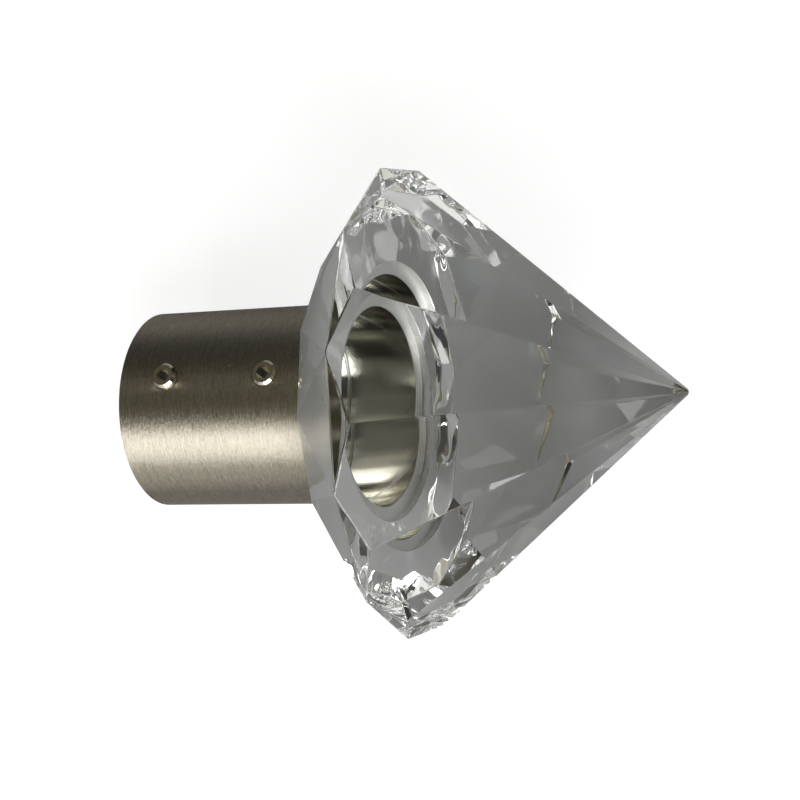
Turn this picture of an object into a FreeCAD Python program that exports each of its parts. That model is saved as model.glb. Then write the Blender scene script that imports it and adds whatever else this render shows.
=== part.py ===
import FreeCAD, Part
import math
import os
import Sketcher

# Curtain pole finial: a clear faceted crystal head, whose spigot is bonded into
# one end of a metal collar. The collar's other end slides over the end of a
# round pole. One set screw bears on the pole, the other backs up the spigot.
# Frame: origin in the middle of the collar's open mouth, +X along the pole's
# axis towards the crystal's point, +Z up through the two set screws.

# Driving dimensions in millimetres, with facet_count a number of facets and
# crystal_turn an angle in degrees
DIMENSIONS = [
    ("collar_outer", 32.0, "outside diameter of the collar"),
    ("collar_length", 33.0, "open mouth to the crystal"),
    ("pole_bore", 26.5, "bore, for a 25 mm pole"),
    ("pole_depth", 20.0, "open mouth to the shoulder that stops the pole"),
    ("socket_bore", 26.0, "socket for the crystal's spigot"),
    ("collar_edge", 0.4, "chamfer on the collar's outer edges"),
    ("screw_thread", 4.0, "thread diameter of a set screw"),
    ("screw_length", 3.0, "length of a set screw"),
    ("screw_chamfer", 0.35, "chamfer at both ends of a set screw"),
    ("screw_cup", 2.0, "diameter of the cup in a set screw's tip"),
    ("screw_cup_depth", 0.5, "depth of that cup"),
    ("screw_key", 2.0, "hexagon socket across its flats"),
    ("screw_key_depth", 1.6, "depth of the hexagon socket"),
    ("hole_countersink", 0.25, "countersink round each screw hole"),
    ("rim_screw_place", 8.3, "open mouth to the first screw"),
    ("head_screw_place", 8.0, "second screw to the crystal's end"),
    ("rim_screw_proud", 1.1, "first screw above the collar"),
    ("head_screw_proud", 0.5, "second screw above the collar"),
    ("bond_thickness", 0.15, "clear adhesive between socket and spigot"),
    ("facet_count", 12, "facets in one tier of the crystal"),
    ("crystal_across", 74.0, "girdle, corner to opposite corner"),
    ("table_across", 49.8, "flat back face, corner to opposite corner"),
    ("crown_height", 9.4, "back face to the girdle's corners"),
    ("pavilion_height", 42.6, "girdle's corners to the point"),
    ("point_flat", 0.7, "blunt end of the point, flat to flat"),
    ("crystal_turn", 7.6, "turn from the screws to a girdle corner"),
    ("seat_across", 30.4, "round seat on the back face"),
    ("seat_height", 1.35, "seat, from the back face to the collar"),
    ("spigot_length", 12.7, "round spigot, inside the socket"),
    ("spigot_chamfer", 0.6, "chamfer at the spigot's end"),
    ("facet_edge", 0.5, "rounding of every facet edge"),
    ("blank_allowance", 2.0, "glass ground off round the blank"),
]

# Corners of the hexagon socket, in shares of its width across flats
HEXAGON = [
    ("{w} / sqrt(3)", "0"),
    ("{w} / sqrt(12)", "{w} / 2"),
    ("-{w} / sqrt(12)", "{w} / 2"),
    ("-{w} / sqrt(3)", "0"),
    ("-{w} / sqrt(12)", "-{w} / 2"),
    ("{w} / sqrt(12)", "-{w} / 2"),
]

doc = FreeCAD.newDocument("finial")


def make_sheet():
    sheet = doc.addObject("Spreadsheet::Sheet", "sizes")
    for row, (alias, value, meaning) in enumerate(DIMENSIONS, start=1):
        sheet.set(f"A{row}", meaning)
        sheet.set(f"B{row}", str(value))
        sheet.setAlias(f"B{row}", alias)
    doc.recompute()


def new_body(label):
    body = doc.addObject("PartDesign::Body", label)
    body.Label = label
    return body


def origin_feature(body, role):
    return next(item for item in body.Origin.OriginFeatures if item.Role == role)


def new_sketch(body, plane, name):
    sketch = body.newObject("Sketcher::SketchObject", name)
    sketch.AttachmentSupport = [(origin_feature(body, plane), "")]
    sketch.MapMode = "FlatFace"
    return sketch


# Ties one coordinate of a sketch point to an expression: "0" puts the point on
# the other axis, and a leading minus puts it on the negative side.
def tie(sketch, kind, line, expression):
    other_axis = {"DistanceX": -2, "DistanceY": -1}[kind]
    if expression == "0":
        sketch.addConstraint(Sketcher.Constraint("PointOnObject", line, 1, other_axis))
        return
    ends = (-1, 1, line, 1)
    if expression.startswith("-"):
        ends = (line, 1, -1, 1)
        expression = expression[1:]
    index = sketch.addConstraint(Sketcher.Constraint(kind, *ends, 1.0))
    sketch.setExpression(f"Constraints[{index}]", expression)


# A closed outline of straight lines, its corners given as pairs of expressions
def outline(sketch, corners):
    count = len(corners)
    turns = [2 * math.pi * place / count for place in range(count)]
    points = [FreeCAD.Vector(math.cos(turn), math.sin(turn), 0) for turn in turns]
    for place in range(count):
        sketch.addGeometry(Part.LineSegment(points[place], points[(place + 1) % count]))
    for place in range(count):
        joint = Sketcher.Constraint("Coincident", place, 2, (place + 1) % count, 1)
        sketch.addConstraint(joint)
    for place, (across, up) in enumerate(corners):
        tie(sketch, "DistanceX", place, across)
        tie(sketch, "DistanceY", place, up)


def circle(sketch, diameter):
    centre = FreeCAD.Vector(0, 0, 0)
    normal = FreeCAD.Vector(0, 0, 1)
    ring = sketch.addGeometry(Part.Circle(centre, normal, 1.0 + sketch.GeometryCount))
    sketch.addConstraint(Sketcher.Constraint("Coincident", ring, 3, -1, 1))
    index = sketch.addConstraint(Sketcher.Constraint("Diameter", ring, 2.0 + 2 * ring))
    sketch.setExpression(f"Constraints[{index}]", diameter)


# Recomputes, and stops if the newest cut has taken nothing off the solid
def confirm_cut(body, before):
    doc.recompute()
    if not body.Shape.Volume < before - 0.01:
        raise RuntimeError(f"the last cut in {body.Label} removed nothing")


def make_collar():
    body = new_body("collar")
    section = new_sketch(body, "XZ_Plane", "collar_section")
    outer = "sizes.collar_outer / 2"
    bore = "sizes.pole_bore / 2"
    socket = "sizes.socket_bore / 2"
    length = "sizes.collar_length"
    edge = "sizes.collar_edge"
    outline(section, [
        ("0", bore),
        ("0", f"{outer} - {edge}"),
        (edge, outer),
        (f"{length} - {edge}", outer),
        (length, f"{outer} - {edge}"),
        (length, socket),
        ("sizes.pole_depth", socket),
        ("sizes.pole_depth", bore),
    ])
    tube = body.newObject("PartDesign::Revolution", "collar_tube")
    tube.Profile = section
    tube.ReferenceAxis = (section, ["H_Axis"])
    doc.recompute()
    whole = body.Shape.Volume

    # A screw hole is a revolved cut, so that its mouth is countersunk
    hole_section = new_sketch(body, "XZ_Plane", "hole_section")
    hole_section.setExpression("AttachmentOffset.Base.x", "sizes.rim_screw_place")
    radius = "sizes.screw_thread / 2"
    sink = "sizes.hole_countersink"
    outline(hole_section, [
        ("0", "0"),
        (radius, "0"),
        (radius, f"{outer} - {sink}"),
        (f"{radius} + 2 * {sink}", f"{outer} + {sink}"),
        ("0", f"{outer} + {sink}"),
    ])
    hole = body.newObject("PartDesign::Groove", "rim_screw_hole")
    hole.Profile = hole_section
    hole.ReferenceAxis = (hole_section, ["V_Axis"])
    confirm_cut(body, whole)

    one_hole = body.Shape.Volume
    row = body.newObject("PartDesign::LinearPattern", "screw_holes")
    row.Originals = [hole]
    row.Direction = (origin_feature(body, "X_Axis"), [""])
    row.Occurrences = 2
    row.setExpression(
        "Length",
        "sizes.collar_length - sizes.rim_screw_place - sizes.head_screw_place",
    )
    body.Tip = row
    confirm_cut(body, one_hole)
    return body


def make_set_screw(label, place, proud):
    body = new_body(label)
    section = new_sketch(body, "XZ_Plane", f"{label}_section")
    radius = "sizes.screw_thread / 2"
    length = "sizes.screw_length"
    chamfer = "sizes.screw_chamfer"
    outline(section, [
        ("0", "sizes.screw_cup_depth"),
        ("sizes.screw_cup / 2", "0"),
        (f"{radius} - {chamfer}", "0"),
        (radius, chamfer),
        (radius, f"{length} - {chamfer}"),
        (f"{radius} - {chamfer}", length),
        ("0", length),
    ])
    shank = body.newObject("PartDesign::Revolution", f"{label}_shank")
    shank.Profile = section
    shank.ReferenceAxis = (section, ["V_Axis"])
    doc.recompute()
    whole = body.Shape.Volume

    key = new_sketch(body, "XY_Plane", f"{label}_key")
    key.setExpression("AttachmentOffset.Base.z", length)
    width = "sizes.screw_key"
    outline(key, [(across.format(w=width), up.format(w=width)) for across, up in HEXAGON])
    socket = body.newObject("PartDesign::Pocket", f"{label}_socket")
    socket.Profile = key
    socket.setExpression("Length", "sizes.screw_key_depth")
    confirm_cut(body, whole)

    body.setExpression("Placement.Base.x", place)
    body.setExpression("Placement.Base.z", f"sizes.collar_outer / 2 + {proud} - {length}")
    return body


# Adhesive round the spigot, up to the chamfer at its end
def make_bond():
    body = new_body("bond")
    rings = new_sketch(body, "YZ_Plane", "bond_rings")
    circle(rings, "sizes.socket_bore")
    circle(rings, "sizes.socket_bore - 2 * sizes.bond_thickness")
    sleeve = body.newObject("PartDesign::Pad", "bond_sleeve")
    sleeve.Profile = rings
    length = "(sizes.spigot_length - sizes.spigot_chamfer)"
    sleeve.setExpression("Length", length)
    body.setExpression("Placement.Base.x", f"sizes.collar_length - {length}")
    return body


# Grinds one tier of facets. The outline is the glass that one facet's cut
# takes away, seen along the facet, and the cut repeats round the crystal.
def grind_tier(body, name, half_steps, corners):
    before = body.Shape.Volume
    waste = new_sketch(body, "XZ_Plane", f"{name}_waste")
    waste.AttachmentOffset = FreeCAD.Placement(
        FreeCAD.Vector(0, 0, 0), FreeCAD.Rotation(FreeCAD.Vector(1, 0, 0), 1)
    )
    waste.setExpression(
        "AttachmentOffset.Rotation.Angle", f"{half_steps} * 180 deg / sizes.facet_count"
    )
    outline(waste, corners)
    facet = body.newObject("PartDesign::Pocket", f"{name}_facet")
    facet.Profile = waste
    facet.Midplane = True
    facet.setExpression("Length", "2 * sizes.crystal_across")
    confirm_cut(body, before)

    before = body.Shape.Volume
    tier = body.newObject("PartDesign::PolarPattern", f"{name}_tier")
    tier.Originals = [facet]
    tier.Axis = (origin_feature(body, "X_Axis"), [""])
    tier.Angle = 360
    tier.setExpression("Occurrences", "sizes.facet_count")
    body.Tip = tier
    confirm_cut(body, before)
    return tier


def make_crystal():
    body = new_body("crystal_head")
    height = "sizes.crown_height + sizes.pavilion_height"
    spare = "sizes.blank_allowance"
    disc = new_sketch(body, "YZ_Plane", "blank_disc")
    circle(disc, f"sizes.crystal_across + 2 * {spare}")
    blank = body.newObject("PartDesign::Pad", "blank")
    blank.Profile = disc
    blank.setExpression("Length", height)
    doc.recompute()

    # Radii of the corners, and of the flats halfway between two corners
    girdle = "sizes.crystal_across / 2"
    table = "sizes.table_across / 2"
    flat = "cos(180 deg / sizes.facet_count)"
    beyond = f"{girdle} + 2 * {spare}"
    past_point = f"{height} + {spare}"

    # Long facets that meet at the point, and the crown facets in line with them
    grind_tier(body, "main", 0, [
        (f"-{spare}", f"{table} * {flat}"),
        ("0", f"{table} * {flat}"),
        ("sizes.crown_height", girdle),
        (height, "sizes.point_flat / 2"),
        (past_point, "sizes.point_flat / 2"),
        (past_point, beyond),
        (f"-{spare}", beyond),
    ])
    # Short girdle facets between them, and the crown facets in line with those
    last_tier = grind_tier(body, "girdle", 1, [
        (f"-{spare}", table),
        ("0", table),
        ("sizes.crown_height", f"{girdle} * {flat}"),
        (past_point, f"{girdle} * {flat}"),
        (past_point, beyond),
        (f"-{spare}", beyond),
    ])

    # Moulding and polishing leave every edge between two facets slightly round
    before = body.Shape.Volume
    edges = body.newObject("PartDesign::Fillet", "facet_edges")
    edges.Base = (last_tier, [""])
    edges.UseAllEdges = True
    edges.setExpression("Radius", "sizes.facet_edge")
    confirm_cut(body, before)

    # Seat and spigot, pressed with the head and left unground
    section = new_sketch(body, "XZ_Plane", "spigot_section")
    spigot = "(sizes.socket_bore / 2 - sizes.bond_thickness)"
    seat = "sizes.seat_across / 2"
    lip = "sizes.spigot_chamfer"
    seat_face = "sizes.seat_height"
    spigot_end = "(sizes.seat_height + sizes.spigot_length)"
    outline(section, [
        ("0", "0"),
        ("0", seat),
        (f"-{seat_face}", seat),
        (f"-{seat_face}", spigot),
        (f"-({spigot_end} - {lip})", spigot),
        (f"-{spigot_end}", f"{spigot} - {lip}"),
        (f"-{spigot_end}", "0"),
    ])
    back = body.newObject("PartDesign::Revolution", "seat_and_spigot")
    back.Profile = section
    back.ReferenceAxis = (section, ["H_Axis"])

    body.Placement = FreeCAD.Placement(
        FreeCAD.Vector(0, 0, 0), FreeCAD.Rotation(FreeCAD.Vector(1, 0, 0), 1)
    )
    body.setExpression("Placement.Base.x", "sizes.collar_length + sizes.seat_height")
    body.setExpression("Placement.Rotation.Angle", "sizes.crystal_turn * 1 deg")
    return body


def export(bodies):
    doc.recompute()
    for item in doc.Objects:
        if "Invalid" in item.State or "Error" in item.State:
            raise RuntimeError(f"{item.Name} did not compute: {item.State}")
    for body in bodies:
        if body.Shape.isNull() or not body.Shape.isValid() or len(body.Shape.Solids) != 1:
            raise RuntimeError(f"{body.Label} is not one valid solid")
    os.makedirs("parts", exist_ok=True)
    for body in bodies:
        body.Shape.exportStep(f"parts/{body.Label}.step")
        box = body.Shape.BoundBox
        print(f"{body.Label}: {body.Shape.Volume:.1f} mm3, "
              f"x {box.XMin:.2f} to {box.XMax:.2f}, z {box.ZMin:.2f} to {box.ZMax:.2f}")


make_sheet()
export([
    make_collar(),
    make_bond(),
    make_crystal(),
    make_set_screw("set_screw_rim", "sizes.rim_screw_place", "sizes.rim_screw_proud"),
    make_set_screw(
        "set_screw_head",
        "sizes.collar_length - sizes.head_screw_place",
        "sizes.head_screw_proud",
    ),
])
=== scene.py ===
import math

import bmesh
import bpy
from mathutils import Matrix, Vector


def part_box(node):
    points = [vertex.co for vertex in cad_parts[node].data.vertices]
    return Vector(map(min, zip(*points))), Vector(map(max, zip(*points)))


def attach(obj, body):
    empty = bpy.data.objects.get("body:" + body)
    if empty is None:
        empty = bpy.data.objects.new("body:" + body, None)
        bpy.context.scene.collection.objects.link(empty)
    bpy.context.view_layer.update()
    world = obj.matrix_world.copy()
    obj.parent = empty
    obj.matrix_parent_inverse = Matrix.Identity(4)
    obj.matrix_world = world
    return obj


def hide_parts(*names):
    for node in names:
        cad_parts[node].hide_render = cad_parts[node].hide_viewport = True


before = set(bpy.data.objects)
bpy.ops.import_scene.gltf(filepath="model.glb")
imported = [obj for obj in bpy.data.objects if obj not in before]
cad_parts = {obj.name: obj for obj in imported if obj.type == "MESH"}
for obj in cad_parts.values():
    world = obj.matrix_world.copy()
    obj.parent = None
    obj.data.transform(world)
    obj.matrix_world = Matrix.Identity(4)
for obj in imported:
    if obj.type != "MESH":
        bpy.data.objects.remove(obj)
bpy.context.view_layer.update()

# Curtain pole finial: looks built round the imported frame, in metres.
# The pole's axis is X, from the collar's mouth at the origin to the crystal's
# point, and the set screws stand on +Z.

MM = 0.001
BOND_LOW, BOND_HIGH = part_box("bond")

# Camera, fitted to the photograph
CAMERA_PLACE = Vector((0.1120, -0.0636, 0.1925))
CAMERA_BACK = Vector((0.3290, -0.2973, 0.8963))
CAMERA_UP = Vector((0.0323, 0.9521, 0.3040))
CAMERA_LENS = 61.17
CAMERA_NEAR = 10 * MM

# Light is reflected many times inside the crystal
LIGHT_BOUNCES = 40

# Seat and spigot of the crystal
SAME_PLACE = 0.1 * MM
SEAT_CLEAR = 0.03 * MM
SEAT_HEIGHT = 1.35 * MM
BACK_FACE = BOND_HIGH.x + SEAT_HEIGHT
BOND_THICKNESS = 0.15 * MM
SPIGOT_RADIUS = BOND_HIGH.y - BOND_THICKNESS
SPIGOT_CHAMFER = 0.6 * MM

# Metal of the socket, laid inside the spigot's wall and inside its end
WALL_CONTACT = 0.05 * MM
END_CONTACT = 0.2 * MM
SOCKET_RADIUS = SPIGOT_RADIUS - WALL_CONTACT
SOCKET_BOTTOM = BOND_LOW.x - SPIGOT_CHAMFER + END_CONTACT
SOCKET_SIDES = 160
SOCKET_PLAIN = (0.64, 0.635, 0.595)
SOCKET_GOLDEN = (0.65, 0.60, 0.50)
SOCKET_ROUGH = (0.09, 0.14)
SMEAR_SCALE = 500
PATCH_SCALE = 260
PATCH_SPAN = (0.55, 0.7)

# Glass, with a wave from pressing that weakens from the back to the front
GLASS_TINT = (0.97, 0.985, 0.975)
GLASS_INDEX = 1.52
POLISH_SCALE = 90
POLISH_SPAN = (0.4, 0.8)
POLISH_ROUGH = (0.0, 0.02)
SEAT_ROUGH = 0.45
SEAT_FADE = (BACK_FACE - 0.2 * MM, BACK_FACE - 0.1 * MM)
WAVE_SCALE = 85
WAVE_DEPTH = 0.4 * MM
WAVE_FRONT = 0.15
WAVE_FADE = (36 * MM, 50 * MM)

# Brushing: marks per millimetre along the collar, per radian round it, and share
BRUSH_MARKS = ((5.0, 7.0, 0.5), (1.4, 2.5, 0.2), (3.0, 22.0, 0.3))
BRUSH_SPAN = (0.38, 0.62)
BRUSH_DARK = (0.34, 0.31, 0.25)
BRUSH_BRIGHT = (0.68, 0.635, 0.54)
BRUSH_ROUGH = (0.40, 0.60)
BRUSH_DEPTH = 0.15 * MM
QUARTER_TURN = 0.25

# Set screws
SCREW_DARK = (0.64, 0.59, 0.49)
SCREW_BRIGHT = (0.80, 0.76, 0.68)
SCREW_ROUGH = (0.06, 0.14)
FLECK_SCALE = 1500

# Rest on the collar's rim and on one flat of the girdle, half a facet from a corner
RIM_PLACE = 0.4 * MM
RIM_RADIUS = 16.0 * MM
GIRDLE_PLACE = 43.75 * MM
GIRDLE_FLAT = 35.74 * MM
CRYSTAL_TURN = 7.6
FACETS = 12
REST_TURN = math.radians(CRYSTAL_TURN + 180 / FACETS)

# Floor, with the glow that the camera sees, and the one that metal and glass see
FLOOR_REACH = 1.5
FLOOR_COLOUR = (0.24, 0.244, 0.248)
FLOOR_WHITE = 0.85
FLOOR_SEEN = 0.08

# Room: each tone covers the ones before it where light comes from its side, and
# the two numbers are the cosines between which it sets in
ROOM_WHITE = (1, 1, 1)
ROOM_DARK = (0.012, 0.012, 0.011)
WINDOW_SIDE = (0.0, -1.0, 0.0)
HOLDER_SIDE = (0.604, -0.22, 0.766)
CEILING_SIDE = (0.307, 0.15, 0.94)
ROOM_TONES = (
    (WINDOW_SIDE, -0.75, 0.5, (0.25, 0.226, 0.16)),
    (WINDOW_SIDE, 0.5, 0.9, (1.0, 0.99, 0.95)),
    (HOLDER_SIDE, 0.90, 0.96, (0.030, 0.031, 0.034)),
    (CEILING_SIDE, 0.97, 0.99, (0.60, 0.62, 0.55)),
)

# Lamps: name, place, width and height, and power in watts
LAMP_TARGET = Vector((0.03, 0, 0))
LAMPS = (
    ("window", (0.20, -0.57, 0.33), (0.7, 0.42), 3.4),
    ("window_pane", (0.27, -0.50, 0.44), (0.24, 0.30), 0.9),
)


class Nodes:
    """Adds nodes to one tree, and joins them by socket."""

    def __init__(self, tree):
        self.tree = tree

    def add(self, kind, values=None, **settings):
        node = self.tree.nodes.new(kind)
        for name, value in settings.items():
            setattr(node, name, value)
        for socket, value in (values or {}).items():
            if hasattr(value, "is_output"):
                self.tree.links.new(value, node.inputs[socket])
            else:
                node.inputs[socket].default_value = value
        return node.outputs

    # Joins values to a shader's sockets, whose names are written with _ for a space
    def feed(self, shader, **values):
        for socket, value in values.items():
            self.tree.links.new(value, shader.inputs[socket.replace("_", " ")])

    def maths(self, operation, *values):
        return self.add("ShaderNodeMath", dict(enumerate(values)), operation=operation)[0]

    def total(self, values):
        whole = values[0]
        for value in values[1:]:
            whole = self.maths("ADD", whole, value)
        return whole

    def place(self):
        return self.add("ShaderNodeTexCoord")["Object"]

    def split(self, place):
        return self.add("ShaderNodeSeparateXYZ", {"Vector": place})

    def noise(self, place, scale, detail=2.0, roughness=0.5):
        values = {"Vector": place, "Scale": scale, "Detail": detail, "Roughness": roughness}
        return self.add("ShaderNodeTexNoise", values)["Fac"]

    # Noise drawn out round the axis, from a place along it and a turn in radians
    def streaks(self, along, turn, per_mm, per_radian):
        across = self.maths("MULTIPLY", along, per_mm)
        around = self.maths("MULTIPLY", turn, per_radian)
        place = self.add("ShaderNodeCombineXYZ", {"X": across, "Y": around})[0]
        return self.noise(place, 1.0, detail=3.0, roughness=0.65)

    def spread(self, value, low, high, start=0.0, end=1.0):
        values = {"Value": value, 1: start, 2: end, 3: low, 4: high}
        return self.add("ShaderNodeMapRange", values)["Result"]

    # Either tone is a colour or another node's socket
    def blend(self, share, first, second):
        values = {"Factor": share}
        for socket, tone in ((6, first), (7, second)):
            values[socket] = tone if hasattr(tone, "is_output") else (*tone, 1)
        return self.add("ShaderNodeMix", values, data_type="RGBA")[2]

    def bump(self, height, distance):
        return self.add("ShaderNodeBump", {"Height": height, "Distance": distance})[0]


def new_material(name, **values):
    material = bpy.data.materials.new(name)
    material.use_nodes = True
    shader = material.node_tree.nodes["Principled BSDF"]
    for socket, value in values.items():
        shader.inputs[socket.replace("_", " ")].default_value = value
    return material, Nodes(material.node_tree), shader


def dress(obj, material):
    obj.data.materials.clear()
    obj.data.materials.append(material)


def link_object(name, data):
    obj = bpy.data.objects.new(name, data)
    bpy.context.collection.objects.link(obj)
    return obj


def form_object(name, form):
    mesh = bpy.data.meshes.new(name)
    form.to_mesh(mesh)
    form.free()
    return link_object(name, mesh)


# Pressed glass: clear and polished, wavier towards the back, and left unground
# on its seat and spigot
def glass_material():
    material, nodes, shader = new_material(
        "crystal_glass", IOR=GLASS_INDEX, Transmission_Weight=1.0, Base_Color=(*GLASS_TINT, 1)
    )
    place = nodes.place()
    along = nodes.split(place)["X"]
    polished = nodes.spread(nodes.noise(place, POLISH_SCALE), *POLISH_ROUGH, *POLISH_SPAN)
    unground = nodes.spread(along, SEAT_ROUGH, 0.0, *SEAT_FADE)
    weakened = nodes.spread(along, 1.0, WAVE_FRONT, *WAVE_FADE)
    wave = nodes.maths("MULTIPLY", nodes.noise(place, WAVE_SCALE, detail=1.0), weakened)
    nodes.feed(
        shader,
        Roughness=nodes.maths("MAXIMUM", polished, unground),
        Normal=nodes.bump(wave, WAVE_DEPTH),
    )
    return material


# Satin nickel, brushed round the pole's axis in fine, broad and short marks
def brushed_material():
    material, nodes, shader = new_material(
        "brushed_nickel", Metallic=1.0, Anisotropic=1.0, Anisotropic_Rotation=QUARTER_TURN
    )
    split = nodes.split(nodes.place())
    turn = nodes.maths("ARCTAN2", split["Y"], split["Z"])
    along = nodes.maths("MULTIPLY", split["X"], 1 / MM)
    marks = nodes.total([
        nodes.maths("MULTIPLY", nodes.streaks(along, turn, per_mm, per_radian), share)
        for per_mm, per_radian, share in BRUSH_MARKS
    ])
    nodes.feed(
        shader,
        Base_Color=nodes.blend(
            nodes.spread(marks, 0, 1, *BRUSH_SPAN), BRUSH_DARK, BRUSH_BRIGHT
        ),
        Roughness=nodes.spread(marks, *BRUSH_ROUGH, *BRUSH_SPAN),
        Normal=nodes.bump(marks, BRUSH_DEPTH),
        Tangent=nodes.add("ShaderNodeTangent", direction_type="RADIAL", axis="X")[0],
    )
    return material


def screw_material():
    material, nodes, shader = new_material("screw_nickel", Metallic=1.0)
    fleck = nodes.noise(nodes.place(), FLECK_SCALE, detail=3.0)
    nodes.feed(
        shader,
        Base_Color=nodes.blend(fleck, SCREW_DARK, SCREW_BRIGHT),
        Roughness=nodes.spread(fleck, *SCREW_ROUGH),
    )
    return material


# Polished socket wetted by adhesive, with faint golden patches in it
def socket_material():
    material, nodes, shader = new_material("socket_nickel", Metallic=1.0)
    place = nodes.place()
    cloud = nodes.noise(place, PATCH_SCALE, detail=4.0, roughness=0.6)
    patch = nodes.spread(cloud, 0, 1, *PATCH_SPAN)
    nodes.feed(
        shader,
        Base_Color=nodes.blend(patch, SOCKET_PLAIN, SOCKET_GOLDEN),
        Roughness=nodes.spread(nodes.noise(place, SMEAR_SCALE), *SOCKET_ROUGH),
    )
    return material


# Paper that glows for the camera, hardly for metal and glass, and is clear to a
# camera below it
def floor_material():
    material, nodes, shader = new_material(
        "floor_paper", Roughness=1.0, Base_Color=(*FLOOR_COLOUR, 1), Specular_IOR_Level=0.0
    )
    path = nodes.add("ShaderNodeLightPath")
    seen = nodes.maths("MAXIMUM", path["Is Glossy Ray"], path["Is Transmission Ray"])
    white = nodes.maths("MULTIPLY", path["Is Camera Ray"], FLOOR_WHITE)
    strength = nodes.maths("ADD", white, nodes.maths("MULTIPLY", seen, FLOOR_SEEN))
    glow = nodes.add("ShaderNodeEmission", {"Strength": strength})[0]
    paper = nodes.add("ShaderNodeAddShader", {0: shader.outputs[0], 1: glow})[0]
    back = nodes.add("ShaderNodeNewGeometry")["Backfacing"]
    below = nodes.maths("MULTIPLY", back, path["Is Camera Ray"])
    clear = nodes.add("ShaderNodeBsdfTransparent")[0]
    whole = nodes.add("ShaderNodeMixShader", {0: below, 1: paper, 2: clear})[0]
    nodes.feed(material.node_tree.nodes["Material Output"], Surface=whole)
    return material


# The crystal's seat stands clear of the collar's end by a hair, so that light
# meets glass, air and metal in turn there
def make_crystal():
    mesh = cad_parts["crystal_head"].data.copy()
    for vert in mesh.vertices:
        across = math.hypot(vert.co.y, vert.co.z)
        if abs(vert.co.x - BOND_HIGH.x) < SAME_PLACE and across > BOND_HIGH.y:
            vert.co.x = BOND_HIGH.x + SEAT_CLEAR
    crystal = link_object("faceted_crystal", mesh)
    dress(crystal, glass_material())
    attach(crystal, "root")
    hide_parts("crystal_head")


# The bond leaves no air between spigot and socket, so what shows through the
# glass is the socket's own metal
def make_socket():
    form = bmesh.new()
    turns = [2 * math.pi * side / SOCKET_SIDES for side in range(SOCKET_SIDES)]
    bottom, mouth = (
        [
            form.verts.new((x, SOCKET_RADIUS * math.cos(turn), SOCKET_RADIUS * math.sin(turn)))
            for turn in turns
        ]
        for x in (SOCKET_BOTTOM, BOND_HIGH.x)
    )
    for side in range(SOCKET_SIDES):
        beyond = (side + 1) % SOCKET_SIDES
        wall = form.faces.new((bottom[side], mouth[side], mouth[beyond], bottom[beyond]))
        wall.smooth = True
    disc = form.faces.new(bottom)
    for edge in disc.edges:
        edge.smooth = False
    bmesh.ops.recalc_face_normals(form, faces=form.faces)
    socket = form_object("bonded_socket", form)
    dress(socket, socket_material())
    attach(socket, "root")
    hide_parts("bond")


def make_camera():
    data = bpy.data.cameras.new("camera")
    data.lens = CAMERA_LENS
    data.clip_start = CAMERA_NEAR
    camera = link_object("camera", data)
    back = CAMERA_BACK.normalized()
    right = CAMERA_UP.cross(back).normalized()
    up = back.cross(right)
    turn = Matrix((right, up, back)).transposed().to_4x4()
    camera.matrix_world = Matrix.Translation(CAMERA_PLACE) @ turn
    bpy.context.scene.camera = camera


# The way up from the floor that the finial rests on, and the place of its middle
def resting_plane():
    lean = math.atan2(GIRDLE_FLAT - RIM_RADIUS, GIRDLE_PLACE - RIM_PLACE)
    upward = Vector((
        math.sin(lean),
        -math.cos(lean) * math.sin(REST_TURN),
        math.cos(lean) * math.cos(REST_TURN),
    ))
    depth = RIM_RADIUS * math.cos(lean) - RIM_PLACE * math.sin(lean)
    return upward, -upward * depth


def make_floor():
    form = bmesh.new()
    bmesh.ops.create_grid(form, x_segments=1, y_segments=1, size=FLOOR_REACH)
    floor = form_object("floor", form)
    upward, place = resting_plane()
    floor.rotation_euler = upward.to_track_quat("Z", "Y").to_euler()
    floor.location = place
    dress(floor, floor_material())


# The room round the floor: dark away from the window, olive overhead and pale
# towards it, with the dark of whoever holds the camera and a pale place overhead,
# and white only for the camera
def make_room():
    world = bpy.data.worlds.new("studio")
    world.use_nodes = True
    nodes = Nodes(world.node_tree)
    toward = nodes.add("ShaderNodeTexCoord")["Generated"]
    room = ROOM_DARK
    for side, start, end, tone in ROOM_TONES:
        values = {0: toward, 1: side}
        share = nodes.add("ShaderNodeVectorMath", values, operation="DOT_PRODUCT")["Value"]
        room = nodes.blend(nodes.spread(share, 0, 1, start, end), room, tone)
    camera_ray = nodes.add("ShaderNodeLightPath")["Is Camera Ray"]
    nodes.feed(world.node_tree.nodes["Background"], Color=nodes.blend(camera_ray, room, ROOM_WHITE))
    bpy.context.scene.world = world


def make_lamps():
    for name, place, size, power in LAMPS:
        data = bpy.data.lights.new(name, "AREA")
        data.shape = "RECTANGLE"
        data.size, data.size_y = size
        data.energy = power
        lamp = link_object(name, data)
        lamp.location = place
        lamp.rotation_euler = (LAMP_TARGET - Vector(place)).to_track_quat("-Z", "Y").to_euler()


def main():
    scene = bpy.context.scene
    scene.view_settings.view_transform = "Standard"
    scene.cycles.max_bounces = LIGHT_BOUNCES
    scene.cycles.glossy_bounces = LIGHT_BOUNCES
    scene.cycles.transmission_bounces = LIGHT_BOUNCES
    dress(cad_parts["collar"], brushed_material())
    bright = screw_material()
    dress(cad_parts["set_screw_rim"], bright)
    dress(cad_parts["set_screw_head"], bright)
    make_crystal()
    make_socket()
    make_camera()
    make_floor()
    make_room()
    make_lamps()


main()
